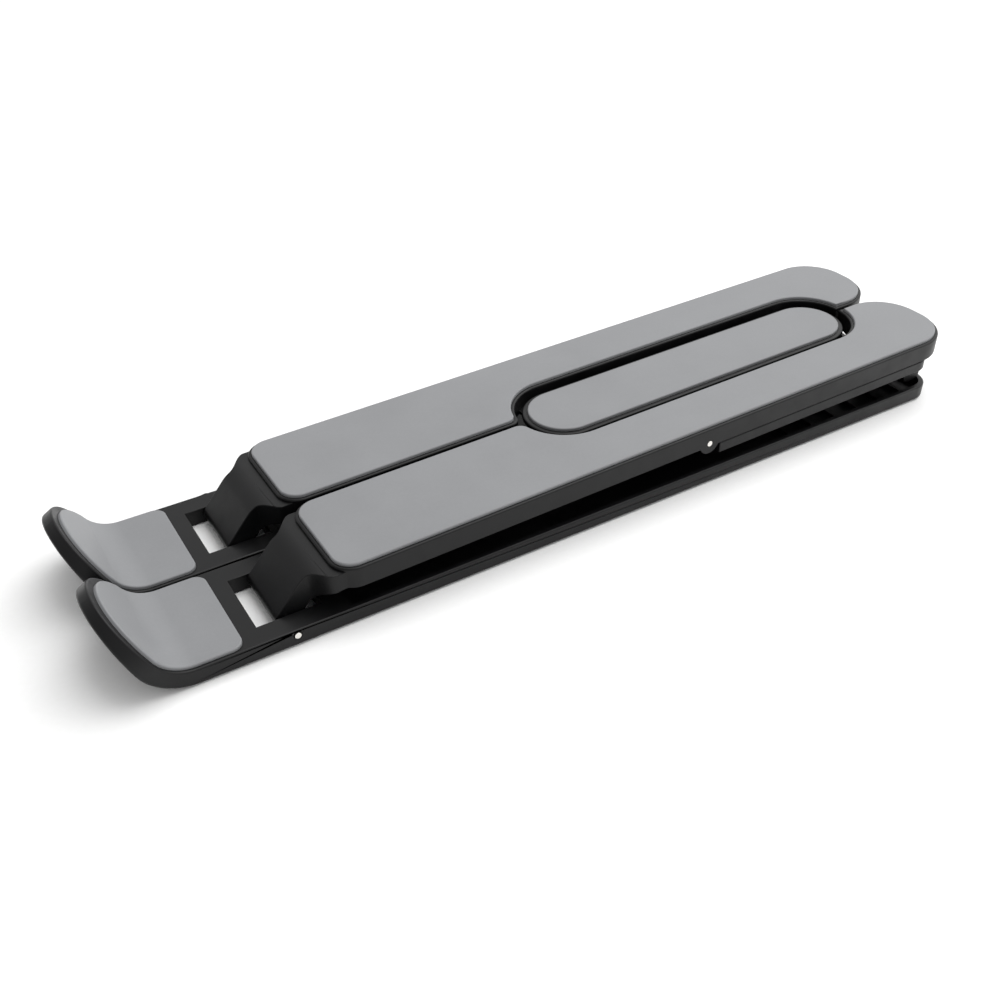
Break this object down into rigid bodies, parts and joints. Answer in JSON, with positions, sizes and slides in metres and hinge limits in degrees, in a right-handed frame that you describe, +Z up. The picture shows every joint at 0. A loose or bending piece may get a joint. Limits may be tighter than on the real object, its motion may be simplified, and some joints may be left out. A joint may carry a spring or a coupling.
{
  "type": "laptop stand",
  "caption": "Folding laptop stand: padded hooks on base rails, arms that tilt up on struts, and an elbow link that spreads the halves.",
  "frame": {"origin": "centre of the folded stand's footprint, on the desk", "axes": "+X from the hooks to the rear, +Y from the right half to the left half, +Z up"},
  "size_m": [0.2526, 0.061, 0.0214],
  "materials": {
    "abs_black": "moulded ABS, fine spark texture",
    "silicone_grey": "moulded silicone, satin",
    "steel": "nickel-plated steel pin",
    "rubber_black": "moulded rubber"
  },
  "bodies": {
    "right_base": {"right_rail": "abs_black", "right_hook_pad": "silicone_grey", "right_front_foot": "rubber_black", "right_rear_foot": "rubber_black", "right_hinge_pin": "steel"},
    "right_arm": {"right_arm": "abs_black", "right_arm_pad": "silicone_grey", "right_strut_pin": "steel", "right_pivot_pin": "steel"},
    "right_strut": {"right_strut": "abs_black"},
    "upper_link": {"link_plate": "abs_black", "link_pad": "silicone_grey", "elbow_pin": "steel"},
    "lower_link": {"lower_link": "abs_black"},
    "left_arm": {"left_arm": "abs_black", "left_arm_pad": "silicone_grey", "left_strut_pin": "steel", "left_pivot_pin": "steel"},
    "left_strut": {"left_strut": "abs_black"},
    "left_base": {"left_rail": "abs_black", "left_hook_pad": "silicone_grey", "left_front_foot": "rubber_black", "left_rear_foot": "rubber_black", "left_hinge_pin": "steel"}
  },
  "joints": [
    {"name": "arm_tilt", "type": "hinge", "parent": "right_base", "child": "right_arm", "pos_m": [-0.08549, 0, 0.00315], "axis": [0, -1, 0], "range_deg": [0, 28]},
    {"name": "right_strut_swing", "type": "hinge", "parent": "right_arm", "child": "right_strut", "pos_m": [0.03243, 0, 0.01282], "axis": [0, 1, 0], "range_deg": [0, 71]},
    {"name": "link_spread", "type": "hinge", "parent": "right_arm", "child": "upper_link", "pos_m": [0.00614, 0, 0.01682], "axis": [-0.0209, 0, 0.9998], "range_deg": [0, 75]},
    {"name": "elbow_fold", "type": "hinge", "parent": "upper_link", "child": "lower_link", "pos_m": [0.09453, 0, 0.01867], "axis": [-0.0209, 0, 0.9998], "range_deg": [-150, 0]},
    {"name": "left_arm_swing", "type": "hinge", "parent": "lower_link", "child": "left_arm", "pos_m": [0.00614, 0, 0.01682], "axis": [-0.0209, 0, 0.9998], "range_deg": [0, 75]},
    {"name": "left_strut_swing", "type": "hinge", "parent": "left_arm", "child": "left_strut", "pos_m": [0.03243, 0, 0.01282], "axis": [0, 1, 0], "range_deg": [0, 71]},
    {"name": "left_base_tilt", "type": "hinge", "parent": "left_arm", "child": "left_base", "pos_m": [-0.08549, 0, 0.00315], "axis": [0, 1, 0], "range_deg": [0, 28]}
  ],
  "couplings": [
    {"joint": "right_strut_swing", "follows": "arm_tilt", "ratio": 2.52},
    {"joint": "left_strut_swing", "follows": "arm_tilt", "ratio": 2.52},
    {"joint": "left_base_tilt", "follows": "arm_tilt", "ratio": 1},
    {"joint": "elbow_fold", "follows": "link_spread", "ratio": -2},
    {"joint": "left_arm_swing", "follows": "link_spread", "ratio": 1}
  ]
}
